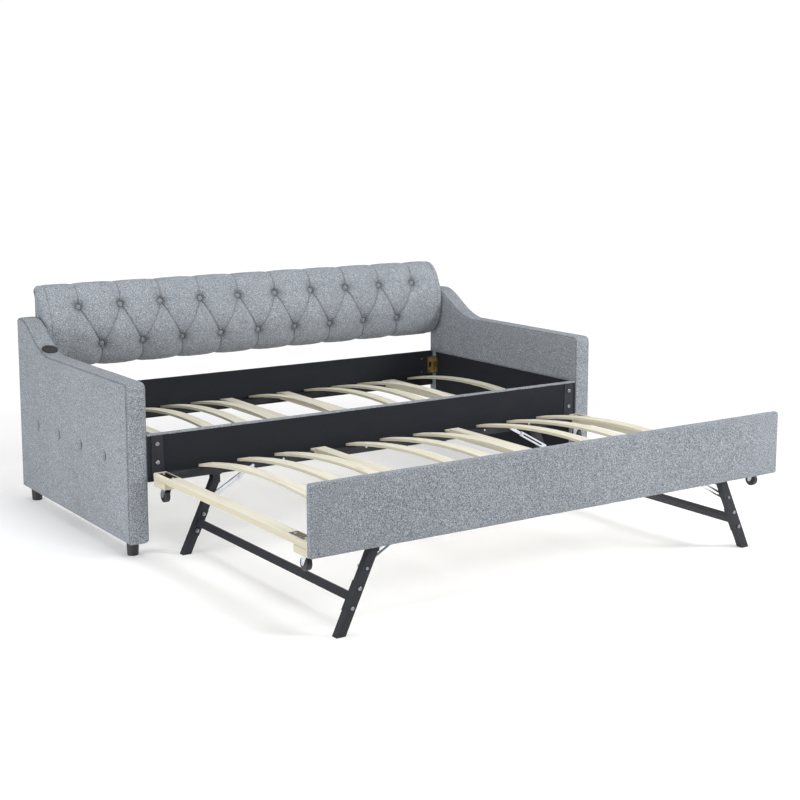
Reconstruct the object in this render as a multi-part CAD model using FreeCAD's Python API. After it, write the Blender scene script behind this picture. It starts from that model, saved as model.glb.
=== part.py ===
"""Daybed with a raised pop-up trundle: one solid or compound per node, in millimetres.

X runs along the bed, Y from the trundle's panel back to the backrest, Z up, with the floor at Z = 0.
"""
import FreeCAD, Part
import math
import os

V = FreeCAD.Vector

# ---- daybed ----
FRONT = 16.5            # Y of the arms' front faces, which centres the whole part on Y = 0
INNER = 965.0           # half the gap between the arms
ARM_T = 76.0            # arm thickness
ARM_D = 1050.0          # arm depth
ARM_BOTTOM = 51.0
ARM_LOW = 617.0         # top of the arm's flat front part
ARM_HIGH = 735.0        # top of the arm at the rear
ARM_S = [(740, 617), (768, 623), (807, 636), (846, 654), (885, 678), (915, 697), (942, 713), (970, 727), (1000, 735)]
ARM_ROUND = 9.0         # softness of the arm's long edges
PAD = 16.0              # upholstery over the arm's core
LINING_TOP = 430.0
LINING_T = 1.5
LINING_Y = (37.0, 998.0)
RAIL_TOP = 432.0
FRONT_RAIL_BOTTOM = 266.0
REAR_RAIL_BOTTOM = 272.0
RAIL_T = 25.0
CLOTH = 3.0             # padded cloth over a rail
LEDGER_TOP = 309.0
LEDGER = (25.0, 26.0)   # width, height
SLAT_W = 50.0
SLAT_T = 9.5
SLAT_RISE = 50.0
SLAT_PITCH = 140.0
BEAM_W = 46.0
FOOT_R = (22.5, 19.5)
FOOT_X = 1003.0
FOOT_Y = (60.0, 995.0)
BACK_PROFILE = [(1060, 852), (1032, 849), (1008, 834), (985, 808), (965, 770), (951, 725), (945, 680),
                (949, 635), (962, 590), (985, 553), (1015, 530), (1042, 523), (1058, 523)]
BACK_REAR = 1065.0
BUTTON_R = 12.5
BUTTON_PITCH = 180.0
BUTTON_ROWS = [(10, 775.0), (9, 612.0)]
BUTTON_SINK = 14.0      # how far the buttons pull the bolster in

# ---- trundle ----
PANEL_FRONT = -1098.0   # all trundle depths are from the arms' front faces
PANEL_T = 25.0
PANEL_HALF = 963.0
PANEL_Z = (261.0, 482.0)
RAIL_Z = (275.0, 303.0)
REAR_RAIL_Y = (-50.0, -20.0)
FRONT_RAIL_Y = (-1073.0, -1043.0)
END_BEAM_X = (908.0, 957.0)
END_BEAM_TOP = 304.0
END_BEAM_H = 22.0
BLOCK_BOTTOM = 259.5
TR_PITCH = 152.0
TR_RISE = 52.0
LOWERING = 203.5        # drop from the legs to the casters

# ---- legs and stays ----
LEAN = math.atan(0.472)
FOOT_CENTRE = 846.0     # |X| of a leg's middle line on the floor
PIVOT_Z = 254.0
PIVOT_X = FOOT_CENTRE - PIVOT_Z * math.tan(LEAN)
LEG_W = 29.0
LEG_D = 26.0
LEG_WALL = 2.0
PIN_R = 5.0
PIN_CLEAR = 0.05
REAR_LEG_Y = (-47.0, -21.0)
FRONT_LEG_Y = (-1071.0, -1045.0)
STRETCHER_Z = 108.0
STRETCHER = (26.0, 20.0)
PLATE_BOLTS_Z = (138.0, 82.0)
STAY_TOP = (585.0, 288.0)      # |X|, Z of the stay's pin on the rail
STAY_FOOT_Z = 194.4
STAY_FOOT = (FOOT_CENTRE - STAY_FOOT_Z * math.tan(LEAN), STAY_FOOT_Z)
BAR_LEN = 70.0
CHANNEL_LEN = 140.0
STUD_AT = 62.0

# ---- casters ----
CASTER_X = 928.0
CASTER_Y = (-72.0, -1027.0)
TRAIL = 14.0
WHEEL_R = 22.0
WHEEL_W = 20.0
WHEEL_Z = LOWERING + WHEEL_R

FLAT = 0.3              # gap left beside a curved face


def box(x0, x1, y0, y1, z0, z1):
    """A box between two corners, with Y measured from the arms' front faces."""
    return Part.makeBox(x1 - x0, y1 - y0, z1 - z0, V(x0, FRONT + y0, z0))


def cyl(r, h, x, y, z, direction):
    return Part.makeCylinder(r, h, V(x, FRONT + y, z), direction)


def mirror_x(shape):
    return shape.mirror(V(0, 0, 0), V(1, 0, 0))


def pair(shape):
    """The right-hand shape and its mirror image on the left."""
    return [shape, mirror_x(shape)]


def side(shape, s):
    """The right-hand shape for s = 1 and its mirror image for s = -1."""
    return shape if s > 0 else mirror_x(shape)


def along(shape, direction):
    """Straight edges of a shape that run along a direction."""
    found = []
    for e in shape.Edges:
        if e.Curve.TypeId == "Part::GeomLine":
            t = e.tangentAt(e.FirstParameter)
            if abs(abs(t.dot(direction)) - 1) < 1e-6:
                found.append(e)
    return found


def soften(shape, radius, direction=None):
    """Fillets on the edges along a direction, or on every edge."""
    return shape.makeFillet(radius, along(shape, direction) if direction else shape.Edges)


def prism_yz(points, x0, x1):
    """A polygon in YZ pushed out along X."""
    pts = [V(x0, FRONT + y, z) for y, z in points]
    return Part.Face(Part.makePolygon(pts + pts[:1])).extrude(V(x1 - x0, 0, 0))


def prism_xz(points, y0, y1):
    """A polygon in XZ pushed out along Y."""
    pts = [V(x, FRONT + y0, z) for x, z in points]
    return Part.Face(Part.makePolygon(pts + pts[:1])).extrude(V(0, y1 - y0, 0))


def yz(y, z, x):
    return V(x, FRONT + y, z)


def on_leg(distance, across=0.0):
    """A point on a leg's middle line at a distance from its pivot, or beside it: |X|, Z."""
    s, c = math.sin(LEAN), math.cos(LEAN)
    return PIVOT_X + distance * s + across * c, PIVOT_Z - distance * c + across * s


def leg_distance(z):
    return (PIVOT_Z - z) / math.cos(LEAN)


def lean_box(d0, d1, w, y0, y1):
    """A box along the leg's line, w wide, between two distances from the pivot."""
    return prism_xz([on_leg(d0, -w / 2), on_leg(d1, -w / 2), on_leg(d1, w / 2), on_leg(d0, w / 2)], y0, y1)


def arched_slat(x, y0, y1, z0, rise, width=SLAT_W):
    """A bentwood slat whose ends' undersides lie at z0."""
    x0, mid = x - width / 2, (y0 + y1) / 2
    low = Part.Arc(yz(y0, z0, x0), yz(mid, z0 + rise, x0), yz(y1, z0, x0)).toShape()
    top = Part.Arc(yz(y0, z0 + SLAT_T, x0), yz(mid, z0 + SLAT_T + rise, x0), yz(y1, z0 + SLAT_T, x0)).toShape()
    ends = [Part.makeLine(yz(y, z0, x0), yz(y, z0 + SLAT_T, x0)) for y in (y0, y1)]
    slat = Part.Face(Part.Wire(Part.__sortEdges__([low, ends[1], top, ends[0]]))).extrude(V(width, 0, 0))
    slat = soften(slat, 7.0, V(0, 0, 1))
    return slat


def cross_beam(x, y0, y1, ledge, z_tab, z_body, width=BEAM_W):
    """A straight beam: thin tabs that lie on the rails, and a thicker middle between them."""
    tab = box(x - width / 2, x + width / 2, y0, y1, z_tab, z_tab + 9.0)
    body = box(x - width / 2, x + width / 2, y0 + ledge, y1 - ledge, z_body[0], z_body[1])
    return soften(tab.fuse(body).removeSplitter(), 1.5, V(0, 1, 0))


def hollow_bar(x0, x1, y0, y1, z0, z1, wall, direction):
    """A rectangular tube, open at both ends, along X or Y."""
    if direction == "x":
        inner = box(x0 - 1, x1 + 1, y0 + wall, y1 - wall, z0 + wall, z1 - wall)
        return soften(box(x0, x1, y0, y1, z0, z1), 2.0, V(1, 0, 0)).cut(inner)
    inner = box(x0 + wall, x1 - wall, y0 - 1, y1 + 1, z0 + wall, z1 - wall)
    return soften(box(x0, x1, y0, y1, z0, z1), 2.0, V(0, 1, 0)).cut(inner)


def bolt_head(r, h, x, y, z, direction):
    """A low domed bolt head with a hexagon socket, standing on a face."""
    head = cyl(r, h, x, y, z, direction)
    rim = [e for e in head.Edges if e.Curve.TypeId == "Part::GeomCircle"
           and (e.Curve.Center - V(x, FRONT + y, z)).Length > h / 2]
    head = head.makeFillet(h * 0.45, rim)
    tip = V(x, FRONT + y, z) + direction * (h * 0.45)
    return head.cut(Part.makeCylinder(r * 0.42, h, tip, direction))


# ---------------------------------------------------------------- arms
def arm_body():
    """The right arm's outer shape."""
    x0 = INNER
    r = 22.0
    p = [(0, ARM_BOTTOM), (0, ARM_LOW - r)]
    front = Part.makeLine(yz(*p[0], x0), yz(*p[1], x0))
    k = r * (1 - math.cos(math.pi / 4))
    corner = Part.Arc(yz(0, ARM_LOW - r, x0), yz(k, ARM_LOW - k, x0), yz(r, ARM_LOW, x0)).toShape()
    flat = Part.makeLine(yz(r, ARM_LOW, x0), yz(*ARM_S[0], x0))
    curve = Part.BSplineCurve()
    curve.interpolate([yz(y, z, x0) for y, z in ARM_S], InitialTangent=V(0, 1, 0), FinalTangent=V(0, 1, 0))
    q = 14.0
    kq = q * (1 - math.cos(math.pi / 4))
    top = Part.makeLine(yz(1000, ARM_HIGH, x0), yz(ARM_D - q, ARM_HIGH, x0))
    heel = Part.Arc(yz(ARM_D - q, ARM_HIGH, x0), yz(ARM_D - kq, ARM_HIGH - kq, x0),
                    yz(ARM_D, ARM_HIGH - q, x0)).toShape()
    rear = Part.makeLine(yz(ARM_D, ARM_HIGH - q, x0), yz(ARM_D, ARM_BOTTOM, x0))
    base = Part.makeLine(yz(ARM_D, ARM_BOTTOM, x0), yz(0, ARM_BOTTOM, x0))
    wire = Part.Wire([front, corner, flat, curve.toShape(), top, heel, rear, base])
    return Part.Face(wire).extrude(V(ARM_T, 0, 0))


def arm_core():
    """The right arm's wooden core, open to the underside for the feet."""
    p = [(PAD, ARM_BOTTOM), (PAD, 600), (752, 600), (835, 632), (950, 697), (1000, 717),
         (ARM_D - PAD, 717), (ARM_D - PAD, ARM_BOTTOM)]
    return prism_yz(p, INNER + PAD, INNER + ARM_T - PAD)


TUFT_Y = [204.0 + 218.0 * i for i in range(4)]
TUFT_Z = 331.0


def arm_upholstery():
    skin = arm_body()
    edges = [e for e in skin.Edges if e.BoundBox.ZMax > ARM_BOTTOM + 1 and e.BoundBox.XLength < 0.01]
    skin = skin.makeFillet(ARM_ROUND, edges)
    opening = box(INNER + PAD, INNER + ARM_T - PAD, PAD, ARM_D - PAD, ARM_BOTTOM - 5, ARM_BOTTOM + 1)
    skin = skin.cut(arm_core().fuse(opening))
    skin = skin.cut(box(INNER - 5, INNER + LINING_T, LINING_Y[0], LINING_Y[1], ARM_BOTTOM - 5, LINING_TOP))
    for y in TUFT_Y:
        skin = skin.cut(box(INNER + ARM_T - 6, INNER + ARM_T + 5, y - 4.5, y + 4.5, TUFT_Z - 14, TUFT_Z + 14))
    return skin


def usb_frame():
    """Centre and outward direction of the charging port on the left arm's slope."""
    tilt = math.atan2(ARM_S[3][1] - ARM_S[1][1], ARM_S[3][0] - ARM_S[1][0])
    tilt = tilt * 0.95
    n = V(0, -math.sin(tilt), math.cos(tilt))
    return V(-(INNER + ARM_T / 2), FRONT + 798.0, 632.8), n


def usb_port():
    c, n = usb_frame()
    flange = Part.makeCylinder(31.0, 3.0, c + n * 1.8, n)
    flange = flange.makeFillet(1.3, [flange.Edges[0]] if flange.Edges[0].Curve.TypeId == "Part::GeomCircle" else [])
    well = Part.makeCylinder(26.0, 11.0, c - n * 9.0, n)
    body = flange.fuse(well)
    for dx in (-9.0, 9.0):
        body = body.cut(usb_slot(dx, 8.0, 0.0))
    return body


def usb_slot(dx, depth, shrink):
    """A socket-sized block sunk in the port's face."""
    c, n = usb_frame()
    w, t = 13.0 - 2 * shrink, 7.0 - 2 * shrink
    b = Part.makeBox(w, t, depth, V(-w / 2, -t / 2, 0))
    b.Placement = FreeCAD.Placement(c + n * (4.8 - 8.0), FreeCAD.Rotation(V(0, 0, 1), n))
    along_x = V(dx, 0, 0)
    b.translate(along_x)
    return b


def feet():
    out = []
    for y in FOOT_Y:
        foot = Part.makeCone(FOOT_R[1], FOOT_R[0], ARM_BOTTOM, V(FOOT_X, FRONT + y, 0), V(0, 0, 1))
        low = [e for e in foot.Edges if e.Curve.TypeId == "Part::GeomCircle" and e.BoundBox.ZMax < 1]
        out += pair(foot.makeFillet(2.0, low))
    return out


# ---------------------------------------------------------------- backrest
def back_wire(x, inset=0.0):
    pts = [yz(y + inset, z, x) for y, z in BACK_PROFILE]
    curve = Part.BSplineCurve()
    curve.interpolate(pts)
    rear = Part.makePolygon([pts[-1], yz(BACK_REAR, 530, x), yz(BACK_REAR, 846, x), pts[0]])
    return Part.Wire([curve.toShape()] + rear.Edges)


def back_surface_y(z, inset=0.0):
    """Depth of the bolster's front face at a height, by straight lines between its profile points."""
    for (y0, z0), (y1, z1) in zip(BACK_PROFILE, BACK_PROFILE[1:]):
        if z1 <= z <= z0:
            return y0 + (y1 - y0) * (z - z0) / (z1 - z0) + inset
    raise ValueError(z)


def back_button_places():
    return [((i - (n - 1) / 2) * BUTTON_PITCH, z) for n, z in BUTTON_ROWS for i in range(n)]


def back_upholstery():
    roll = Part.Face(back_wire(-INNER + 0.4)).extrude(V(2 * INNER - 0.8, 0, 0))
    roll = roll.cut(box(-945, 945, 1040, 1058, 540, 836))
    for x, z in back_button_places():
        y = back_surface_y(z)
        roll = roll.cut(cyl(BUTTON_R + 5, 60, x, y - 60 + BUTTON_SINK, z, V(0, 1, 0)))
    for s in (1, -1):
        roll = roll.cut(side(box(INNER - 4, INNER + 1, 1000, 1030, 620, 740), s))
    return roll


def back_buttons():
    out = []
    for x, z in back_button_places():
        y = back_surface_y(z) + BUTTON_SINK
        head = cyl(BUTTON_R, 7.0, x, y, z, V(0, -1, 0))
        rim = [e for e in head.Edges if e.Curve.TypeId == "Part::GeomCircle" and e.BoundBox.YMin < FRONT + y - 5]
        out.append(head.makeFillet(3.0, rim))
    return out


# ---------------------------------------------------------------- rails and slats of the daybed
def front_rail():
    return box(-INNER, INNER, CLOTH, RAIL_T - CLOTH, FRONT_RAIL_BOTTOM, RAIL_TOP - CLOTH)


def front_rail_cloth():
    return box(-INNER, INNER, 1.0, CLOTH, FRONT_RAIL_BOTTOM, RAIL_TOP - CLOTH)


def front_rail_cover():
    cap = box(-INNER, INNER, 0, RAIL_T, RAIL_TOP - CLOTH, RAIL_TOP)
    back = box(-INNER, INNER, RAIL_T - CLOTH, RAIL_T, FRONT_RAIL_BOTTOM, RAIL_TOP - CLOTH)
    return cap.fuse(back).removeSplitter()


def rear_rail():
    return box(-INNER, INNER, ARM_D - RAIL_T + 2, ARM_D - CLOTH, REAR_RAIL_BOTTOM, RAIL_TOP - CLOTH)


def rear_rail_cloth():
    return box(-INNER, INNER, ARM_D - RAIL_T, ARM_D - RAIL_T + 2, REAR_RAIL_BOTTOM, RAIL_TOP - CLOTH)


def rear_rail_cover():
    cap = box(-INNER, INNER, ARM_D - RAIL_T, ARM_D, RAIL_TOP - CLOTH, RAIL_TOP)
    return cap.fuse(box(-INNER, INNER, ARM_D - CLOTH, ARM_D, REAR_RAIL_BOTTOM, RAIL_TOP - CLOTH)).removeSplitter()


def slat_ledgers():
    w, h = LEDGER
    rear = ARM_D - RAIL_T
    return [box(-940, 940, RAIL_T, RAIL_T + w, LEDGER_TOP - h, LEDGER_TOP),
            box(-940, 940, rear - w, rear, LEDGER_TOP - h, LEDGER_TOP)]


MAIN_BEAMS = (-5, -1, 1, 5)


def main_slats():
    y0, y1 = RAIL_T + 2, ARM_D - RAIL_T - 2
    return [arched_slat(k * SLAT_PITCH, y0, y1, LEDGER_TOP, SLAT_RISE)
            for k in range(-6, 7) if k not in MAIN_BEAMS]


def main_cross_beams():
    y0, y1 = RAIL_T + 2, ARM_D - RAIL_T - 2
    return [cross_beam(k * SLAT_PITCH, y0, y1, LEDGER[0] + 4, LEDGER_TOP, (294.0, 324.0)) for k in MAIN_BEAMS]


def front_corner_brackets():
    plate = prism_xz([(908, 427), (950, 427), (951, 268), (930, 268), (928, 290), (903, 290)], -2.0, 1.0)
    return pair(plate)


ANGLE_BOLTS_Z = (343.0, 394.0)


def rear_corner_brackets():
    """Stamped angle at each rear corner, a leaf on the rail and a leaf on the arm."""
    y = ARM_D - RAIL_T
    leaf = box(933, INNER, y - 2.5, y, 330, 407)
    other = box(INNER - 2.5, INNER, y - 42, y, 330, 407)
    angle = leaf.fuse(other).removeSplitter()
    angle = angle.cut(box(941, 955, y - 5, y + 5, 357, 381))
    for z in ANGLE_BOLTS_Z:
        angle = angle.cut(cyl(3.2, 20, 948, y - 10, z, V(0, 1, 0)))
        angle = angle.cut(cyl(3.2, 20, INNER - 10, y - 24, z, V(1, 0, 0)))
    return pair(angle)


def rail_bolts():
    out = []
    y = ARM_D - RAIL_T
    for z in (398.0, 333.0):
        out += pair(bolt_head(7.5, 4.5, 929, -2.0, z, V(0, -1, 0)))
    for z in (399.0, 336.0):
        out += pair(bolt_head(3.6, 2.0, 901, y, z, V(0, -1, 0)))
    for z in ANGLE_BOLTS_Z:
        out += pair(bolt_head(5.0, 2.5, 948, y - 2.5, z, V(0, -1, 0)))
        out += pair(bolt_head(5.0, 2.5, INNER - 2.5, y - 24, z, V(-1, 0, 0)))
    return out


# ---------------------------------------------------------------- trundle deck
def panel_board():
    y = PANEL_FRONT
    return box(-PANEL_HALF + 8, PANEL_HALF - 8, y + 5, y + PANEL_T - 3, PANEL_Z[0] + 8, PANEL_Z[1] - 8)


def panel_cover():
    y = PANEL_FRONT
    skin = box(-PANEL_HALF, PANEL_HALF, y, y + PANEL_T, PANEL_Z[0], PANEL_Z[1])
    fronts = [e for e in skin.Edges if abs(e.BoundBox.YMax - (FRONT + y)) < 0.01]
    return skin.makeFillet(8.0, fronts).cut(panel_board())


def deck_rail(y):
    return hollow_bar(-END_BEAM_X[0], END_BEAM_X[0], y[0], y[1], RAIL_Z[0], RAIL_Z[1], 1.6, "x")


PLATE_Y = ((-138.0, -37.0), (-1032.0, -941.0))
PLATE_X = (912.0, 947.0)


def end_beam(s):
    x0, x1 = END_BEAM_X
    beam = box(x0, x1, PANEL_FRONT + PANEL_T, -28, END_BEAM_TOP - END_BEAM_H, END_BEAM_TOP)
    beam = soften(beam, 3.0, V(0, 1, 0))
    for y0, y1 in PLATE_Y:
        beam = beam.cut(box(PLATE_X[0], PLATE_X[1], y0, y1, END_BEAM_TOP - 4, END_BEAM_TOP + 5))
    return side(beam, s)


def beam_end_plates():
    out = []
    for y0, y1 in PLATE_Y:
        out += pair(box(PLATE_X[0] + 0.5, PLATE_X[1] - 0.5, y0 + 0.5, y1 - 0.5, END_BEAM_TOP - 4, END_BEAM_TOP - 2))
    return out


BLOCK_Y = ((-112.0, -28.0), (-1073.0, -988.0))


def caster_blocks():
    out = []
    for y0, y1 in BLOCK_Y:
        block = box(END_BEAM_X[0], END_BEAM_X[1], y0, y1, BLOCK_BOTTOM, END_BEAM_TOP - END_BEAM_H)
        out += pair(soften(block, 2.5, V(0, 0, 1)))
    return out


TR_BEAMS = (-2, 2)
TR_ENDS = (-1071.0, -23.0)


def trundle_slats():
    return [arched_slat(k * TR_PITCH, TR_ENDS[0], TR_ENDS[1], RAIL_Z[1], TR_RISE)
            for k in range(-5, 6) if k not in TR_BEAMS]


def trundle_cross_beams():
    return [cross_beam(k * TR_PITCH, TR_ENDS[0], TR_ENDS[1], 29.0, RAIL_Z[1], (288.0, 320.0))
            for k in TR_BEAMS]


def leg_brackets():
    """Folded clevises under the rails, with the pins that the legs turn on."""
    out = []
    for y0, y1 in (REAR_LEG_Y, FRONT_LEG_Y):
        web = box(PIVOT_X - 20, PIVOT_X + 20, y0 - 2.0, y1 + 2.0, 272.6, RAIL_Z[0])
        cheeks = [box(PIVOT_X - 14, PIVOT_X + 14, a, b, PIVOT_Z - 12, 273)
                  for a, b in ((y0 - 2.0, y0 - 0.5), (y1 + 0.5, y1 + 2.0))]
        pin = cyl(PIN_R, y1 - y0 + 9.0, PIVOT_X, y0 - 4.5, PIVOT_Z, V(0, 1, 0))
        out += pair(web.fuse(cheeks + [pin]).removeSplitter())
    return out


def leg_catches():
    """Small blocks under the rails that hold the folded legs' ends."""
    out = []
    for y0, y1 in ((-46.0, -24.0), (-1069.0, -1047.0)):
        out += pair(box(400, 434, y0, y1, 262, RAIL_Z[0]))
    return out


def caster_plates():
    out = []
    for y in CASTER_Y:
        plate = soften(box(CASTER_X - 20, CASTER_X + 20, y - 24, y + 24, BLOCK_BOTTOM - 3, BLOCK_BOTTOM), 4.0, V(0, 0, 1))
        out += pair(plate.cut(cyl(4.05, 10, CASTER_X, y, BLOCK_BOTTOM - 6, V(0, 0, 1))))
    return out


def deck_screws():
    out = []
    up, z = V(0, 0, 1), END_BEAM_TOP - 2
    for y0, y1 in PLATE_Y:
        for y in (y0 + 14, y1 - 14):
            out += pair(bolt_head(5.0, 1.8, 930, y, z, up))
    inner = (REAR_RAIL_Y[0], FRONT_RAIL_Y[1])
    for x in (680.0, 456.0, 100.0):
        out += pair(bolt_head(4.0, 2.0, x, inner[0], 295, V(0, -1, 0)))
        out += pair(bolt_head(4.0, 2.0, x, inner[1], 295, V(0, 1, 0)))
    for y in (inner[0], inner[1]):
        d = -1 if y == inner[0] else 1
        pin = cyl(3.0, 7.0, STAY_TOP[0], y, STAY_TOP[1], V(0, d, 0))
        out += pair(pin)
    return out


# ---------------------------------------------------------------- legs
def leg(y, s):
    """A leaning box-section leg, rounded at its pivot and cut flat on the floor."""
    y0, y1 = y
    reach = leg_distance(0) + 20
    outer = lean_box(0, reach, LEG_W, y0, y1)
    outer = outer.fuse(cyl(LEG_W / 2, y1 - y0, PIVOT_X, y0, PIVOT_Z, V(0, 1, 0)))
    inner = lean_box(-40, leg_distance(3), LEG_W - 2 * LEG_WALL, y0 + LEG_WALL, y1 - LEG_WALL)
    floor = box(700, 1000, y0 - 5, y1 + 5, -60, 0)
    out = outer.removeSplitter().cut(inner).cut(floor)
    out = out.cut(cyl(PIN_R + PIN_CLEAR, y1 - y0 + 10, PIVOT_X, y0 - 5, PIVOT_Z, V(0, 1, 0)))
    return side(out, s)


def stretcher(s):
    """The crossbar between a side's legs, with a plate at each end."""
    d = leg_distance(STRETCHER_Z)
    y0, y1 = FRONT_LEG_Y[1], REAR_LEG_Y[0]
    w, t = STRETCHER
    tube = lean_box(d - w / 2, d + w / 2, t, y0 + 3, y1 - 3)
    tube = tube.cut(lean_box(d - w / 2 + 1.5, d + w / 2 - 1.5, t - 3, y0 + 6, y1 - 6))
    top, low = (leg_distance(z) for z in PLATE_BOLTS_Z)
    plates = [lean_box(top - 16, low + 16, 30.0, a, b) for a, b in ((y0, y0 + 3), (y1 - 3, y1))]
    return side(tube.fuse(plates).removeSplitter(), s)


def leg_bolts(s):
    """Bolt heads on the legs' outer faces and nuts on the plates, and the stays' lower bolts."""
    out = []
    ends = ((FRONT_LEG_Y[0], FRONT_LEG_Y[1] + 3, 1), (REAR_LEG_Y[1], REAR_LEG_Y[0] - 3, -1))
    for face, nut, d in ends:
        for z in PLATE_BOLTS_Z:
            x, _ = on_leg(leg_distance(z))
            out.append(side(bolt_head(6.4, 4.0, x, face, z, V(0, -d, 0)), s))
            nut_body = cyl(6.5, 5.0, x, nut, z, V(0, d, 0)).fuse(cyl(3.0, 11.0, x, nut, z, V(0, d, 0)))
            out.append(side(nut_body, s))
        x, z = STAY_FOOT
        out.append(side(bolt_head(4.5, 2.5, x, face, z, V(0, -d, 0)), s))
        out.append(side(cyl(5.0, 4.5, x, nut - 3 * d, z, V(0, d, 0)), s))
    return out


# ---------------------------------------------------------------- stays
STAY_SPAN = math.hypot(STAY_FOOT[0] - STAY_TOP[0], STAY_FOOT[1] - STAY_TOP[1])
STAY_DIR = ((STAY_FOOT[0] - STAY_TOP[0]) / STAY_SPAN, (STAY_FOOT[1] - STAY_TOP[1]) / STAY_SPAN)


def on_stay(distance, across=0.0):
    """A point on the stay's line at a distance from its upper pin: |X|, Z."""
    ux, uz = STAY_DIR
    return STAY_TOP[0] + distance * ux - across * uz, STAY_TOP[1] + distance * uz + across * ux


def stay_box(d0, d1, w, y0, y1):
    return prism_xz([on_stay(d0, -w / 2), on_stay(d1, -w / 2), on_stay(d1, w / 2), on_stay(d0, w / 2)], y0, y1)


def disc(r, at, y0, y1):
    x, z = on_stay(at)
    return cyl(r, y1 - y0, x, y0, z, V(0, 1, 0))


def span(face, d, a, b):
    """Y limits from a to b away from a rail's inner face, for either direction."""
    return (face - b, face - a) if d < 0 else (face + a, face + b)


def stay_bar(face, d, s):
    """The flat bar that turns on the rail's pin and carries the sliding stud."""
    y = span(face, d, 4.0, 7.0)
    bar = stay_box(0, BAR_LEN - 6, 12.0, *y).fuse([disc(6.0, 0, *y), disc(6.0, BAR_LEN - 6, *y)]).removeSplitter()
    bar = bar.cut(disc(3.05, 0, y[0] - 1, y[1] + 1))
    stud = disc(2.6, STUD_AT, *span(face, d, 6.0, 11.5)).fuse(disc(5.0, STUD_AT, *span(face, d, 10.0, 12.0)))
    return side(bar.fuse(stud).removeSplitter(), s)


def stay_channel(face, d, s):
    """The slotted channel that slides along the bar and reaches the leg's bolt."""
    start, end = STAY_SPAN - CHANNEL_LEN, STAY_SPAN + 9
    outer = stay_box(start, end, 18.0, *span(face, d, 2.5, 9.5))
    hollow = stay_box(start - 1, end + 1, 15.0, *span(face, d, 2.0, 8.0))
    slot = stay_box(STAY_SPAN - 136, STAY_SPAN - 15, 6.0, *span(face, d, 7.0, 10.0))
    return side(outer.cut(hollow).cut(slot), s)


# ---------------------------------------------------------------- casters
def caster_fork(y, s):
    """Fork with its kingpin and axle; the wheel trails the kingpin."""
    z_top = BLOCK_BOTTOM - 3.3
    cap = soften(box(CASTER_X - 13.3, CASTER_X + 13.3, y - 13, y + 20, z_top - 2.6, z_top), 4.0, V(0, 0, 1))
    king = cyl(4.0, 5.6, CASTER_X, y, z_top - 2.6, V(0, 0, 1))
    parts = [king]
    for x0, x1 in ((-13.3, -11.5), (11.5, 13.3)):
        cheek = prism_yz([(y - 9, z_top - 2), (y + 18, z_top - 2), (y + TRAIL + 6, WHEEL_Z - 3),
                          (y + TRAIL, WHEEL_Z - 6), (y + TRAIL - 6, WHEEL_Z - 3)], CASTER_X + x0, CASTER_X + x1)
        parts.append(cheek)
    parts.append(cyl(3.0, 28.6, CASTER_X - 14.3, y + TRAIL, WHEEL_Z, V(1, 0, 0)))
    return side(cap.fuse(parts).removeSplitter(), s)


def caster_wheel(y, s):
    wheel = cyl(WHEEL_R, WHEEL_W, CASTER_X - WHEEL_W / 2, y + TRAIL, WHEEL_Z, V(1, 0, 0))
    wheel = wheel.makeFillet(4.0, [e for e in wheel.Edges if e.Curve.TypeId == "Part::GeomCircle"])
    hub = cyl(5.5, WHEEL_W + 2.0, CASTER_X - WHEEL_W / 2 - 1.0, y + TRAIL, WHEEL_Z, V(1, 0, 0))
    bore = cyl(3.05, WHEEL_W + 20, CASTER_X - WHEEL_W / 2 - 10, y + TRAIL, WHEEL_Z, V(1, 0, 0))
    return side(wheel.fuse(hub).cut(bore), s)


# ---------------------------------------------------------------- nodes
def usb_sockets():
    return [usb_slot(dx, 7.0, 0.6) for dx in (-9.0, 9.0)]


def arm_buttons():
    out = []
    x = INNER + ARM_T - 6
    for y in TUFT_Y:
        knot = box(x, x + 5.0, y - 3.5, y + 3.5, TUFT_Z - 12, TUFT_Z + 12)
        out += pair(soften(knot, 2.5, V(1, 0, 0)))
    return out


def backrest_brackets():
    return pair(box(INNER - 3.5, INNER, 1001, 1029, 621, 739))


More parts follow.
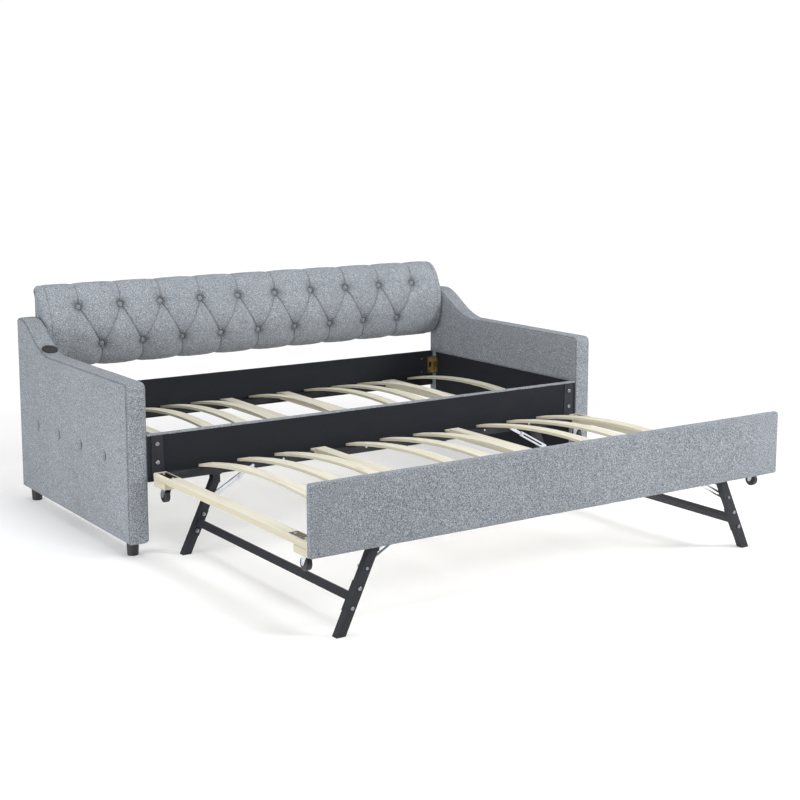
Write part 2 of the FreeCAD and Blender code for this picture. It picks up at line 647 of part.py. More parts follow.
def nodes():
    out = {}
    port, n = usb_frame()
    pocket = Part.makeCylinder(26.4, 40, port - n * 9.3, n)
    for name, s in (("left", -1), ("right", 1)):
        core, skin = side(arm_core(), s), side(arm_upholstery(), s)
        if s < 0:
            core, skin = core.cut(pocket), skin.cut(pocket)
        out.setdefault("arm_cores", []).append(core)
        out[name + "_arm_upholstery"] = skin
    out["arm_linings"] = pair(box(INNER, INNER + LINING_T, LINING_Y[0], LINING_Y[1], ARM_BOTTOM, LINING_TOP))
    out["arm_tufts"] = arm_buttons()
    out["feet"] = feet()
    out["usb_port"] = usb_port()
    out["usb_sockets"] = usb_sockets()
    out["backrest_board"] = box(-945, 945, 1040, 1058, 540, 836)
    out["backrest_upholstery"] = back_upholstery()
    out["backrest_buttons"] = back_buttons()
    out["backrest_hook_plates"] = backrest_brackets()
    out["front_rail"] = front_rail()
    out["rear_rail"] = rear_rail()
    out["rail_cloths"] = [front_rail_cloth(), rear_rail_cloth()]
    out["rail_covers"] = [front_rail_cover(), rear_rail_cover()]
    out["slat_ledgers"] = slat_ledgers()
    out["main_slats"] = main_slats()
    out["main_cross_beams"] = main_cross_beams()
    out["front_corner_brackets"] = front_corner_brackets()
    out["rear_corner_brackets"] = rear_corner_brackets()
    out["rail_bolts"] = rail_bolts()

    out["trundle_panel_board"] = panel_board()
    out["trundle_panel_cover"] = panel_cover()
    out["trundle_front_rail"] = deck_rail(FRONT_RAIL_Y)
    out["trundle_rear_rail"] = deck_rail(REAR_RAIL_Y)
    out["left_end_beam"] = end_beam(-1)
    out["right_end_beam"] = end_beam(1)
    out["beam_end_plates"] = beam_end_plates()
    out["caster_blocks"] = caster_blocks()
    out["trundle_slats"] = trundle_slats()
    out["trundle_cross_beams"] = trundle_cross_beams()
    out["leg_brackets"] = leg_brackets()
    out["leg_catches"] = leg_catches()
    out["caster_plates"] = caster_plates()
    out["deck_fixings"] = deck_screws()

    corners = (("front", 1, FRONT_LEG_Y, FRONT_RAIL_Y[1], CASTER_Y[1]),
               ("rear", 0, REAR_LEG_Y, REAR_RAIL_Y[0], CASTER_Y[0]))
    for name, s in (("left", -1), ("right", 1)):
        for end, k, leg_y, face, caster_y in corners:
            d = 1 if end == "front" else -1
            tag = name + "_" + end
            out[tag + "_leg"] = leg(leg_y, s)
            out[tag + "_stay_bar"] = stay_bar(face, d, s)
            out[tag + "_stay_channel"] = stay_channel(face, d, s)
            out[tag + "_caster_fork"] = caster_fork(caster_y, s)
            out[tag + "_caster_wheel"] = caster_wheel(caster_y, s)
        out[name + "_stretcher"] = stretcher(s)
        out[name + "_leg_bolts"] = leg_bolts(s)
    return out


os.makedirs("parts", exist_ok=True)
for node, shape in nodes().items():
    if isinstance(shape, list):
        shape = Part.makeCompound(shape)
    if not shape.isValid():
        print("not valid:", node)
    shape.exportStep("parts/" + node + ".step")
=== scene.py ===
"""Looks for the trundle bed: fabric, tufting, wood, metal, studio and camera, in metres on the CAD frame."""
import math
import bmesh
import bpy
import numpy as np
from mathutils import Matrix, Vector


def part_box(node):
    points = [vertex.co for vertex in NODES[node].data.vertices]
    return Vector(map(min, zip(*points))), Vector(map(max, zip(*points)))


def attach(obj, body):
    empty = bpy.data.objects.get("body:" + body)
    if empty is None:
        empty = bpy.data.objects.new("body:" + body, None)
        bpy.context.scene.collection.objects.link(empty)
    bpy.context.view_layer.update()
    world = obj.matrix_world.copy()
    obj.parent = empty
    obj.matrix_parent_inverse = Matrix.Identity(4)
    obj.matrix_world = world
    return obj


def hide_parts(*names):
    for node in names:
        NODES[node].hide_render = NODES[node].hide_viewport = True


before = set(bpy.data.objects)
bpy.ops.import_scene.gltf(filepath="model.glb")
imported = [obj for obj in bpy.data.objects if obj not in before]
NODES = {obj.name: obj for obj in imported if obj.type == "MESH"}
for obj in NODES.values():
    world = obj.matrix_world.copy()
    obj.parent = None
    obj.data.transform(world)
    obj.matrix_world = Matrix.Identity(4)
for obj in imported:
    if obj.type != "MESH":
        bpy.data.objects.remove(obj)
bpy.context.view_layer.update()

MM = 0.001

(arm_lo, arm_hi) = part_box("right_arm_upholstery")
FRONT = arm_lo[1]                 # Y of the arms' front faces
INNER = arm_lo[0]                 # half the gap between the arms


# ------------------------------------------------------------------ shader helpers
class Graph:
    """A material and short calls that add nodes to it."""

    def __init__(self, name, base, rough, metallic=0.0, specular=0.5):
        self.m = bpy.data.materials.new(name)
        self.m.use_nodes = True
        self.nt = self.m.node_tree
        self.bsdf = self.nt.nodes["Principled BSDF"]
        self.set("Base Color", (*base, 1.0))
        self.set("Roughness", rough)
        self.set("Metallic", metallic)
        self.set("Specular IOR Level", specular)
        self.coords = self.nt.nodes.new("ShaderNodeTexCoord").outputs["Object"]

    def set(self, socket, value):
        self.bsdf.inputs[socket].default_value = value

    def to(self, socket, output):
        self.nt.links.new(output, self.bsdf.inputs[socket])

    def plug(self, value, socket):
        if hasattr(value, "is_linked"):
            self.nt.links.new(value, socket)
        else:
            socket.default_value = value

    def stretch(self, scale):
        n = self.nt.nodes.new("ShaderNodeMapping")
        n.inputs["Scale"].default_value = scale
        self.plug(self.coords, n.inputs["Vector"])
        return n.outputs[0]

    def noise(self, scale, detail=2.0, rough=0.5, vector=None, distort=0.0):
        n = self.nt.nodes.new("ShaderNodeTexNoise")
        n.inputs["Scale"].default_value = scale
        n.inputs["Detail"].default_value = detail
        n.inputs["Roughness"].default_value = rough
        n.inputs["Distortion"].default_value = distort
        self.plug(vector or self.coords, n.inputs["Vector"])
        return n.outputs["Fac"]

    def voronoi(self, scale, vector=None):
        n = self.nt.nodes.new("ShaderNodeTexVoronoi")
        n.inputs["Scale"].default_value = scale
        self.plug(vector or self.coords, n.inputs["Vector"])
        return n

    def math(self, op, a, b=0.0, clamp=False):
        n = self.nt.nodes.new("ShaderNodeMath")
        n.operation = op
        n.use_clamp = clamp
        self.plug(a, n.inputs[0])
        self.plug(b, n.inputs[1])
        return n.outputs[0]

    def ramp(self, fac, stops):
        n = self.nt.nodes.new("ShaderNodeValToRGB")
        while len(n.color_ramp.elements) < len(stops):
            n.color_ramp.elements.new(0.5)
        for e, (pos, col) in zip(n.color_ramp.elements, stops):
            e.position = pos
            e.color = (*col, 1.0)
        self.plug(fac, n.inputs[0])
        return n.outputs[0]

    def mix(self, fac, a, b, blend="MIX"):
        n = self.nt.nodes.new("ShaderNodeMix")
        n.data_type = "RGBA"
        n.blend_type = blend
        self.plug(fac, n.inputs["Factor"])
        for value, socket in ((a, n.inputs[6]), (b, n.inputs[7])):
            self.plug(value if hasattr(value, "is_linked") else (*value, 1.0), socket)
        return n.outputs[2]

    def range(self, fac, low, high):
        n = self.nt.nodes.new("ShaderNodeMapRange")
        self.plug(fac, n.inputs["Value"])
        n.inputs["From Min"].default_value, n.inputs["From Max"].default_value = 0.25, 0.75
        n.inputs["To Min"].default_value, n.inputs["To Max"].default_value = low, high
        return n.outputs[0]

    def xyz(self):
        n = self.nt.nodes.new("ShaderNodeSeparateXYZ")
        self.plug(self.coords, n.inputs[0])
        return n.outputs

    def normal_z(self):
        g = self.nt.nodes.new("ShaderNodeNewGeometry")
        n = self.nt.nodes.new("ShaderNodeSeparateXYZ")
        self.plug(g.outputs["Normal"], n.inputs[0])
        return n.outputs[2]

    def bump(self, height, distance, strength=1.0, under=None):
        n = self.nt.nodes.new("ShaderNodeBump")
        n.inputs["Strength"].default_value = strength
        n.inputs["Distance"].default_value = distance
        self.plug(height, n.inputs["Height"])
        if under:
            self.plug(under, n.inputs["Normal"])
        self.to("Normal", n.outputs[0])
        return n.outputs[0]


THREAD_PITCH = 0.0026
PAINTED_FOLD_SHADE = 0.80             # how much painted shade darkens the fabric deep in a pleat


def tweed(name, tone=1.0, fold_shade_painted=False):
    """Heathered linen-look weave: slubs along each axis, mottled yarn colours and a fine thread relief,
    optionally darkened with painted shade read from the mesh's fold attribute.
    """
    g = Graph(name, (0.26, 0.28, 0.305), 0.93, specular=0.2)
    along, across = 150, 560
    directions = ((along, across, across), (across, along, across), (across, across, along))
    slubs = [g.noise(1.0, 2.0, 0.6, g.stretch(c)) for c in directions]
    yarn = g.math("MULTIPLY", g.math("ADD", g.math("ADD", slubs[0], slubs[1]), slubs[2]), 0.3333)
    flecks = g.noise(340, 1.5, 0.6)
    mixed = g.math("ADD", g.math("MULTIPLY", yarn, 0.98), g.math("MULTIPLY", flecks, 0.52))
    mixed = g.math("SUBTRACT", mixed, 0.25)
    t = tone
    colour = g.ramp(mixed, [(0.37, (0.085 * t, 0.096 * t, 0.116 * t)),
                            (0.46, (0.186 * t, 0.204 * t, 0.230 * t)),
                            (0.54, (0.274 * t, 0.296 * t, 0.324 * t)),
                            (0.65, (0.50 * t, 0.525 * t, 0.555 * t))])
    broad = g.range(g.noise(2.4, 3.0, 0.6), 0.93, 1.05)
    cloud = g.math("MULTIPLY", broad, g.range(g.noise(30, 2.0, 0.5), 0.95, 1.04))
    cloud = g.math("MULTIPLY", cloud, g.range(g.noise(1.0, 2.0, 0.5, g.stretch((55, 55, 5))), 0.96, 1.035))
    # painted shade: the colour darkens where the mesh's fold attribute marks pleats, seams, button wells and
    # tuft pits
    if fold_shade_painted:
        depth = g.nt.nodes.new("ShaderNodeAttribute")
        depth.attribute_name = "fold"
        shade = g.math("MULTIPLY", depth.outputs["Fac"], PAINTED_FOLD_SHADE)
        cloud = g.math("MULTIPLY", cloud, g.math("SUBTRACT", 1.0, shade))
    grey = g.nt.nodes.new("ShaderNodeCombineXYZ")
    for axis in range(3):
        g.plug(cloud, grey.inputs[axis])
    g.to("Base Color", g.mix(1.0, colour, grey.outputs[0], "MULTIPLY"))
    k = math.pi / THREAD_PITCH
    waves = [g.math("ABSOLUTE", g.math("SINE", g.math("MULTIPLY", c, k))) for c in g.xyz()]
    threads = g.math("ADD", g.math("ADD", waves[0], waves[1]), waves[2])
    relief = g.math("ADD", g.math("MULTIPLY", threads, 0.30), g.math("MULTIPLY", mixed, 1.6))
    g.bump(relief, 0.0009, 0.7)
    g.set("Sheen Weight", 0.12)
    g.set("Sheen Roughness", 0.45)
    g.set("Sheen Tint", (0.85, 0.89, 0.95, 1.0))
    return g.m


def lining_cloth(name):
    """Thin black non-woven cloth: pressed fibres and faint creases."""
    g = Graph(name, (0.016, 0.018, 0.023), 0.86, specular=0.16)
    fibres = g.noise(620, 3.0, 0.7)
    folds = g.noise(6.0, 3.0, 0.55, g.stretch((1.0, 1.0, 2.6)))
    g.to("Base Color", g.mix(g.range(fibres, 0.0, 1.0), (0.010, 0.012, 0.016), (0.024, 0.027, 0.033)))
    g.bump(g.math("ADD", g.math("MULTIPLY", fibres, 0.22), folds), 0.0022, 0.5)
    g.to("Roughness", g.range(folds, 0.78, 0.92))
    return g.m


def pale_wood(name):
    """Bentwood poplar: fine grain along the slat, small tone shifts between boards, darker warmer steep
    faces, partly the cut laminate sides and partly painted shade.
    """
    g = Graph(name, (0.74, 0.71, 0.61), 0.55, specular=0.4)
    grain = g.noise(1.0, 5.0, 0.62, g.stretch((70, 2.6, 130)), 0.35)
    pores = g.noise(1.0, 2.0, 0.5, g.stretch((620, 14, 620)))
    board = g.noise(1.0, 0.0, 0.5, g.stretch((7.3, 0.15, 0.4)))
    base = g.ramp(grain, [(0.30, (0.56, 0.52, 0.41)), (0.48, (0.655, 0.625, 0.525)),
                          (0.62, (0.705, 0.68, 0.59)), (0.78, (0.735, 0.715, 0.64))])
    base = g.mix(g.range(board, 0.0, 0.30), base, (0.61, 0.57, 0.45))
    # steep faces darkened: partly the slats' cut laminate sides, partly painted shade on every vertical face
    upward = g.math("ABSOLUTE", g.normal_z())
    cut_side_and_shade = g.math("SUBTRACT", 1.0, g.math("MULTIPLY", upward, 1.35), clamp=True)
    base = g.mix(g.math("MULTIPLY", cut_side_and_shade, 0.55), base, (0.46, 0.425, 0.29))
    base = g.mix(g.math("MULTIPLY", g.range(pores, -0.5, 0.5), 0.35, clamp=True), base, (0.50, 0.43, 0.29))
    knots = g.noise(1.0, 1.0, 0.5, g.stretch((16, 5.0, 16)))
    base = g.mix(g.math("MULTIPLY", g.math("GREATER_THAN", knots, 0.745), 0.4), base, (0.42, 0.31, 0.17))
    g.to("Base Color", base)
    g.to("Roughness", g.range(grain, 0.48, 0.66))
    g.bump(g.math("ADD", grain, g.math("MULTIPLY", pores, 0.5)), 0.0006, 0.6)
    return g.m


def raw_board(name):
    """Particle board for the hidden cores."""
    g = Graph(name, (0.52, 0.40, 0.26), 0.85)
    chips = g.voronoi(190)
    g.to("Base Color", g.mix(chips.outputs["Distance"], (0.58, 0.46, 0.31), (0.36, 0.26, 0.15)))
    g.bump(chips.outputs["Distance"], 0.0008, 0.5)
    return g.m


def powder_coat(name, tone=1.0):
    """Black powder-coated steel with orange-peel texture and dusty, rubbed places."""
    g = Graph(name, (0.014 * tone, 0.015 * tone, 0.018 * tone), 0.5, specular=0.3)
    peel = g.noise(900, 2.0, 0.5)
    rub = g.noise(22, 4.0, 0.65)
    g.to("Base Color", g.mix(g.range(rub, 0.0, 0.7), (0.009 * tone, 0.010 * tone, 0.013 * tone),
                             (0.020 * tone, 0.021 * tone, 0.026 * tone)))
    g.to("Roughness", g.range(rub, 0.40, 0.60))
    g.bump(peel, 0.0003, 0.6)
    return g.m


def zinc_plate(name, tone=1.0):
    """Bright zinc plate: soft spangle, drawing lines and dulled spots."""
    g = Graph(name, (0.74, 0.77, 0.81), 0.3, metallic=1.0)
    spangle = g.voronoi(160)
    lines = g.noise(1.0, 3.0, 0.6, g.stretch((60, 60, 900)))
    dull = g.noise(45, 3.0, 0.6)
    colours = ((0.80, 0.83, 0.88), (0.60, 0.64, 0.70), (0.50, 0.53, 0.58))
    light, mid, grey = ([c * tone for c in rgb] for rgb in colours)
    tint = g.mix(spangle.outputs["Distance"], light, mid)
    g.to("Base Color", g.mix(g.range(dull, 0.0, 0.5), tint, grey))
    g.to("Roughness", g.range(g.math("MULTIPLY", g.math("ADD", lines, dull), 0.5), 0.20, 0.46))
    g.bump(lines, 0.0002, 0.5)
    return g.m


def yellow_zinc(name, dark=1.0):
    """Yellow chromate zinc: gold with straw, rose and green drifts."""
    g = Graph(name, (0.62, 0.50, 0.22), 0.34, metallic=1.0)
    drift = g.noise(38, 3.0, 0.6)
    g.to("Base Color", g.ramp(drift, [(0.30, (0.40 * dark, 0.42 * dark, 0.20 * dark)),
                                      (0.45, (0.66 * dark, 0.54 * dark, 0.24 * dark)),
                                      (0.57, (0.78 * dark, 0.62 * dark, 0.33 * dark)),
                                      (0.72, (0.66 * dark, 0.42 * dark, 0.30 * dark))]))
    g.to("Roughness", g.range(g.noise(120, 3.0, 0.6), 0.24, 0.5))
    g.bump(g.noise(300, 2.0), 0.0003, 0.4)
    return g.m


def moulded(name, colour, low, high, grain=700):
    """Moulded plastic: fine mould texture and handling marks."""
    g = Graph(name, colour, (low + high) / 2, specular=0.5)
    spark, scuff = g.noise(grain, 2.0), g.noise(60, 4.0, 0.65)
    lighter = tuple(c * 1.5 + 0.006 for c in colour)
    g.to("Base Color", g.mix(g.range(scuff, 0.0, 0.55), colour, lighter))
    g.to("Roughness", g.range(scuff, low, high))
    g.bump(spark, 0.0003, 0.4)
    return g.m


FABRIC = tweed("tweed_grey", 1.03)
# the tufted and arm tweeds carry painted shade from the mesh's fold attribute
FABRIC_PLEAT_SHADED = tweed("tweed_tufted_painted_shade", 1.15, fold_shade_painted=True)
FABRIC_ARM_SHADED = tweed("tweed_arm_painted_shade", 1.05, fold_shade_painted=True)
FABRIC_BUTTON = tweed("tweed_button", 0.95)
THREAD = tweed("seam_thread", 0.78)
BLACK_CLOTH = lining_cloth("lining_black")
WOOD = pale_wood("poplar_pale")
BOARD = raw_board("particle_board")
STEEL = powder_coat("steel_black", 1.5)
LEDGER = powder_coat("ledger_black", 0.8)
ZINC = zinc_plate("zinc_bright")
BOLTS = zinc_plate("zinc_bolts", 0.50)
YELLOW = yellow_zinc("zinc_yellow", 0.62)
BRASS_DARK = yellow_zinc("plate_dark_gold", 0.16)
FOOT_PLASTIC = moulded("foot_plastic", (0.018, 0.018, 0.020), 0.38, 0.6)
USB_PLASTIC = moulded("usb_plastic", (0.008, 0.008, 0.010), 0.45, 0.65, 1100)
WHEEL_PLASTIC = moulded("wheel_plastic", (0.012, 0.012, 0.013), 0.25, 0.5)
SOCKET = moulded("socket_insert", (0.05, 0.052, 0.056), 0.4, 0.6)


def paint(material, *names):
    for name in names:
        node = NODES[name]
        node.data.materials.clear()
        node.data.materials.append(material)


SIDES = ("left", "right")
CORNERS = [s + "_" + e for s in SIDES for e in ("front", "rear")]
paint(BOARD, "arm_cores", "backrest_board", "trundle_panel_board")
paint(FABRIC, "front_rail", "rear_rail")
paint(WOOD, "main_slats", "main_cross_beams", "trundle_slats", "trundle_cross_beams", "left_end_beam",
      "right_end_beam", "caster_blocks")
paint(LEDGER, "slat_ledgers")
paint(STEEL, "front_corner_brackets", "trundle_front_rail", "trundle_rear_rail", "leg_brackets",
      *[s + "_stretcher" for s in SIDES], *[c + "_leg" for c in CORNERS])
paint(BOLTS, "rail_bolts", *[s + "_leg_bolts" for s in SIDES])
paint(ZINC, "deck_fixings", "caster_plates", "backrest_hook_plates",
      *[c + k for c in CORNERS for k in ("_stay_bar", "_stay_channel", "_caster_fork")])
paint(YELLOW, "rear_corner_brackets")
paint(BRASS_DARK, "beam_end_plates")
paint(FOOT_PLASTIC, "feet", "leg_catches")
paint(USB_PLASTIC, "usb_port")
paint(SOCKET, "usb_sockets")
paint(WHEEL_PLASTIC, *[c + "_caster_wheel" for c in CORNERS])


# ------------------------------------------------------------------ mesh helpers
def make_object(name, verts, faces, material, smooth=True):
    mesh = bpy.data.meshes.new(name)
    mesh.from_pydata([tuple(v) for v in np.asarray(verts, float)], [], [tuple(f) for f in faces])
    mesh.validate()
    mesh.update()
    if smooth:
        mesh.polygons.foreach_set("use_smooth", [True] * len(mesh.polygons))
    mesh.materials.append(material)
    obj = bpy.data.objects.new(name, mesh)
    bpy.context.scene.collection.objects.link(obj)
    return obj


def grid_faces(nu, nv, close_v=False, offset=0, flip=False):
    """Quads of a grid stored row by row, nv points to a row."""
    out = []
    for i in range(nu - 1):
        for j in range(nv if close_v else nv - 1):
            a, b = offset + i * nv + j, offset + i * nv + (j + 1) % nv
            q = (a, b, b + nv, a + nv)
            out.append(q[::-1] if flip else q)
    return out


def catmull(points, per_span=14):
    """A smooth line through points."""
    p = np.asarray(points, float)
    p = np.vstack([2 * p[0] - p[1], p, 2 * p[-1] - p[-2]])
    out = []
    for i in range(1, len(p) - 2):
        for t in np.linspace(0, 1, per_span, endpoint=False):
            out.append(0.5 * (2 * p[i] + (p[i + 1] - p[i - 1]) * t
                              + (2 * p[i - 1] - 5 * p[i] + 4 * p[i + 1] - p[i + 2]) * t ** 2
                              + (3 * p[i] - p[i - 1] - 3 * p[i + 1] + p[i + 2]) * t ** 3))
    out.append(p[-2])
    return np.array(out)


def resample(line, count, closed):
    """The same line with evenly spaced points."""
    p = np.vstack([line, line[:1]]) if closed else np.asarray(line)
    s = np.concatenate([[0], np.cumsum(np.linalg.norm(np.diff(p, axis=0), axis=1))])
    at = np.linspace(0, s[-1], count, endpoint=not closed)
    return np.stack([np.interp(at, s, p[:, k]) for k in range(p.shape[1])], -1)


def normals_2d(loop):
    """Outward unit normals of a closed loop in a plane."""
    t = np.roll(loop, -1, 0) - np.roll(loop, 1, 0)
    n = np.stack([t[:, 1], -t[:, 0]], -1)
    n /= np.linalg.norm(n, axis=1, keepdims=True)
    area = np.sum(loop[:, 0] * np.roll(loop[:, 1], -1) - np.roll(loop[:, 0], -1) * loop[:, 1])
    return n if area > 0 else -n


def ripple(p, scale, seed=0.0):
    """Smooth, repeatable unevenness between about -1 and 1, as a sum of slow waves."""
    p = np.asarray(p, float) * scale
    total = np.zeros(len(p))
    r = np.random.default_rng(int(seed * 10) + 3)
    for k in range(7):
        d = r.normal(size=3)
        total += np.sin(p @ d * (1.0 + 0.35 * k) + r.uniform(0, 6.28)) / (1.0 + 0.5 * k)
    return total / 2.6


def soft_box(lo, hi, r, step, puff=0.0, uneven=0.0, seed=1.0):
    """A box with rounded edges, crowned faces and slight unevenness. Returns vertices and faces."""
    lo, hi = np.array(lo, float), np.array(hi, float)
    r = min(r, 0.49 * float((hi - lo).min()))

    def ticks(a, b):
        n = max(2, int(round((b - a - 2 * r) / step)))
        edge = np.array([0.0, 0.12, 0.3, 0.55, 0.8]) * r
        return np.concatenate([a + edge, np.linspace(a + r, b - r, n), b - edge[::-1]])

    axes = [ticks(lo[k], hi[k]) for k in range(3)]
    verts, faces, index = [], [], {}

    def vid(p):
        key = tuple(np.round(p, 7))
        if key not in index:
            index[key] = len(verts)
            verts.append(p)
        return index[key]

    for k in range(3):
        a, b = [i for i in range(3) if i != k]
        for value, sign in ((lo[k], -1), (hi[k], 1)):
            ids = np.empty((len(axes[a]), len(axes[b])), int)
            for i, u in enumerate(axes[a]):
                for j, v in enumerate(axes[b]):
                    p = np.empty(3)
                    p[k], p[a], p[b] = value, u, v
                    ids[i, j] = vid(p)
            for i in range(len(axes[a]) - 1):
                for j in range(len(axes[b]) - 1):
                    q = (ids[i, j], ids[i + 1, j], ids[i + 1, j + 1], ids[i, j + 1])
                    faces.append(q if (sign > 0) == ((k + 1) % 3 == a) else q[::-1])
    p = np.array(verts)
    core = np.clip(p, lo + r, hi - r)
    d = p - core
    length = np.linalg.norm(d, axis=1, keepdims=True)
    n = np.divide(d, length, out=np.zeros_like(d), where=length > 1e-9)
    p = core + n * r
    if puff or uneven:
        size = np.maximum(hi - lo, 1e-6)
        t = np.clip((p - lo) / size, 0, 1)
        crown = np.prod(np.where(size > 0.06, (4 * t * (1 - t)) ** 0.5, 1.0), axis=1)
        p = p + n * (puff * crown + uneven * ripple(p, 22, seed))[:, None]
    return p, faces


def joined(name, parts, material):
    """One object from several (vertices, faces) lists."""
    verts, faces, base = [], [], 0
    for v, f in parts:
        verts.append(np.asarray(v, float))
        faces += [tuple(base + i for i in q) for q in f]
        base += len(v)
    return make_object(name, np.vstack(verts), faces, material)


def tube(line, radius, sides=8, closed=False):
    """A round tube along a line, with flat ends closed."""
    p = np.asarray(line, float)
    t = (np.roll(p, -1, 0) - np.roll(p, 1, 0)) if closed else np.gradient(p, axis=0)
    t /= np.linalg.norm(t, axis=1, keepdims=True)
    up = np.array([0.31, 0.17, 0.93])
    a = np.cross(t, up)
    a /= np.linalg.norm(a, axis=1, keepdims=True)
    b = np.cross(t, a)
    ang = np.linspace(0, 2 * np.pi, sides, endpoint=False)
    ring = a[:, None] * np.cos(ang)[None, :, None] + b[:, None] * np.sin(ang)[None, :, None]
    v = (p[:, None] + ring * radius).reshape(-1, 3)
    n = len(p)
    f = grid_faces(n, sides, close_v=True)
    if closed:
        last = (n - 1) * sides
        f += [(last + j, last + (j + 1) % sides, (j + 1) % sides, j) for j in range(sides)]
    else:
        f += [tuple(range(sides))[::-1], tuple((n - 1) * sides + j for j in range(sides))]
    return v, f


def stitches(line, normal, pitch=0.0075, length=0.0048, radius=0.0006):
    """Short threads laid along a line, bowed a little out of it."""
    s = np.concatenate([[0], np.cumsum(np.linalg.norm(np.diff(line, axis=0), axis=1))])
    parts = []
    for a in np.arange(pitch / 2, s[-1] - length, pitch):
        at = np.linspace(a, a + length, 4)
        p = np.stack([np.interp(at, s, line[:, k]) for k in range(3)], -1)
        p += np.asarray(normal) * np.array([-0.0002, 0.0006, 0.0006, -0.0002])[:, None]
        parts.append(tube(p, radius, 5))
    return parts


# ------------------------------------------------------------------ tufted bolster
back_lo, back_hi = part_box("backrest_upholstery")
BACK_HALF = back_hi[0]
# the roll's outline in depth and height, in millimetres, from the top over the front to the bottom
BACK_FACE = [(1060, 852), (1032, 849), (1008, 834), (985, 808), (965, 770), (951, 725), (945, 680),
             (949, 635), (962, 590), (985, 553), (1015, 530), (1042, 523), (1058, 523)]
BACK_PLANE = [(1.0645, 0.528), (1.065, 0.545), (1.065, 0.832), (1.0645, 0.848)]
PITCH = 0.180                     # between buttons in a row
ROW_TOP, ROW_LOW = 0.775, 0.612
SEAM_IN = 0.029                   # from the bolster's end to the seam round the roll
END_R = 0.021                     # rounding of the bolster's ends
TOP_X = [(i - 4.5) * PITCH for i in range(10)]
LOW_X = [(i - 4.0) * PITCH for i in range(9)]
BUTTONS = [(x, ROW_TOP) for x in TOP_X] + [(x, ROW_LOW) for x in LOW_X]


